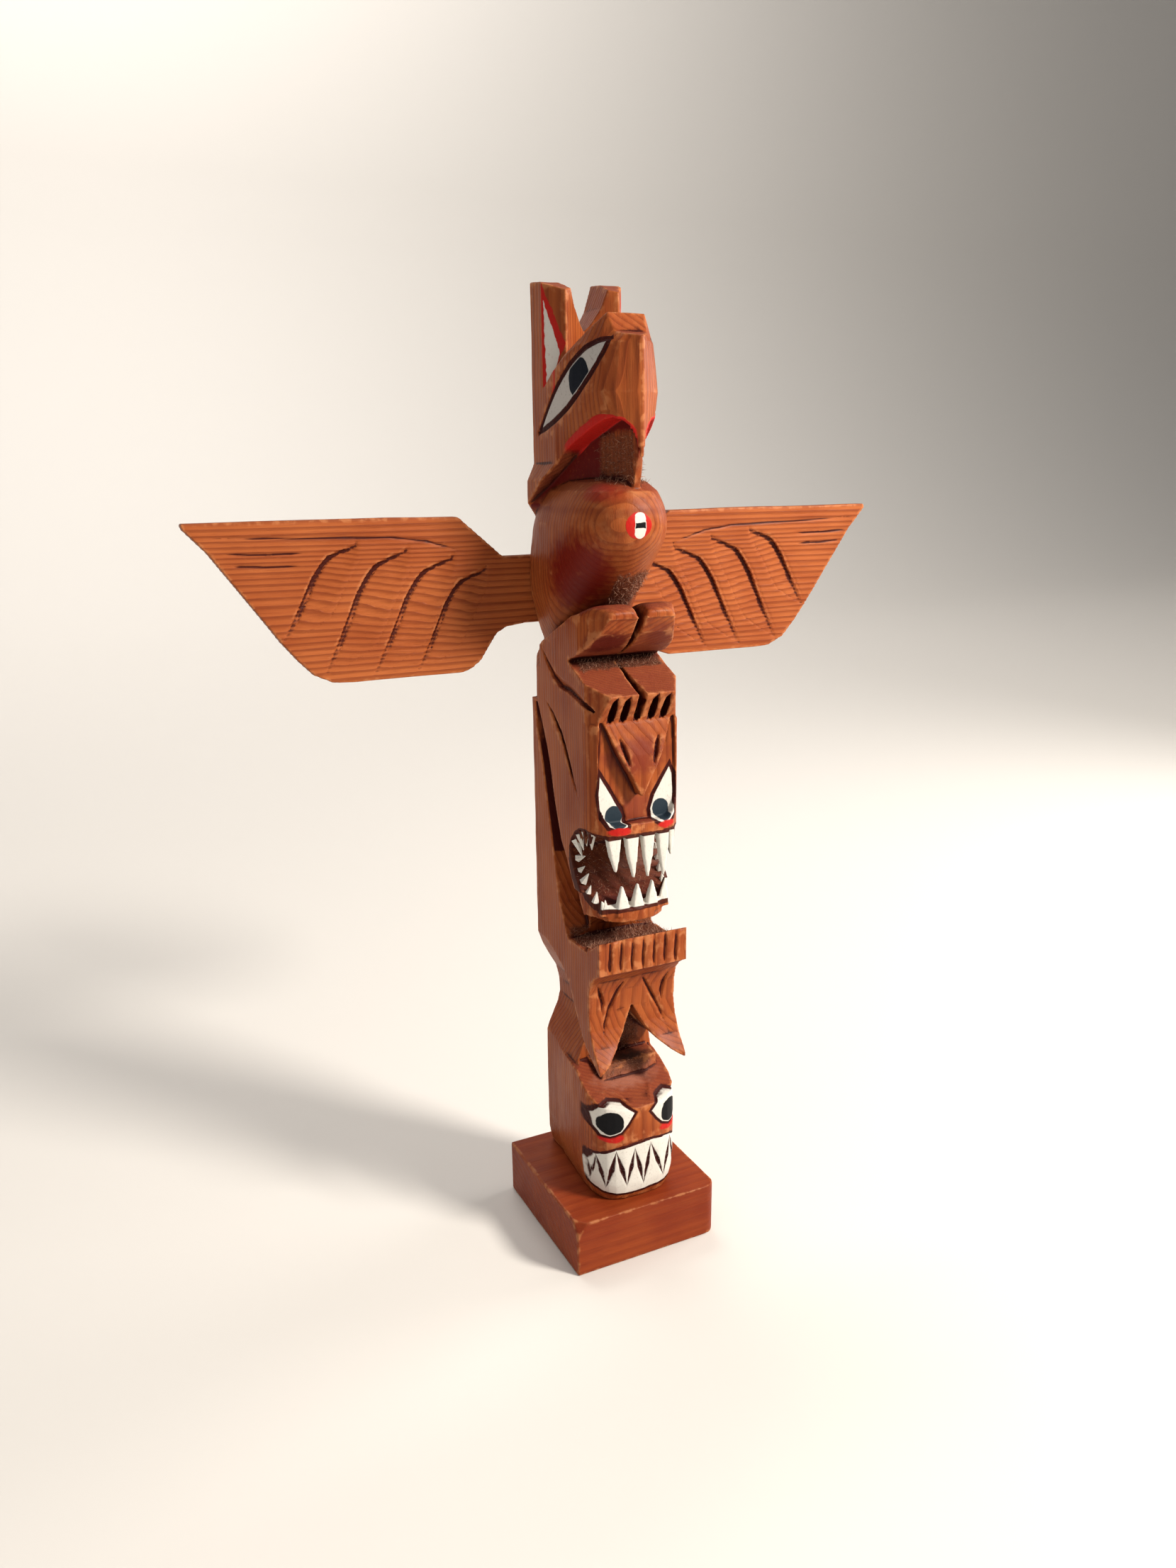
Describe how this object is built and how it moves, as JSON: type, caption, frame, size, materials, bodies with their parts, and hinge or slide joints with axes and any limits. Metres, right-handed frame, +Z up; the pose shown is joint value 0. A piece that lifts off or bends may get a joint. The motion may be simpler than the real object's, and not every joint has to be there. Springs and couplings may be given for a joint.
{
  "type": "souvenir totem pole",
  "caption": "Carved and painted cedar totem pole with a horned bird, a wolf and a toothed mask, spread wings on its back and a square base block.",
  "frame": {"origin": "centre of the base block's flat underside, on the surface it stands on", "axes": "+Z up along the pole, -Y out of the carved front, +X to the viewer's right across the wings"},
  "size_m": [0.235, 0.055, 0.3049],
  "materials": {
    "pole_wood": "red-brown stained and varnished cedar with painted details",
    "wing_wood": "red-brown stained and varnished cedar board with gouged feathers",
    "base_wood": "red-brown stained and varnished wood"
  },
  "bodies": {
    "root": {"carved_pole": "pole_wood", "wing_board": "wing_wood", "base_block": "base_wood"}
  },
  "joints": []
}
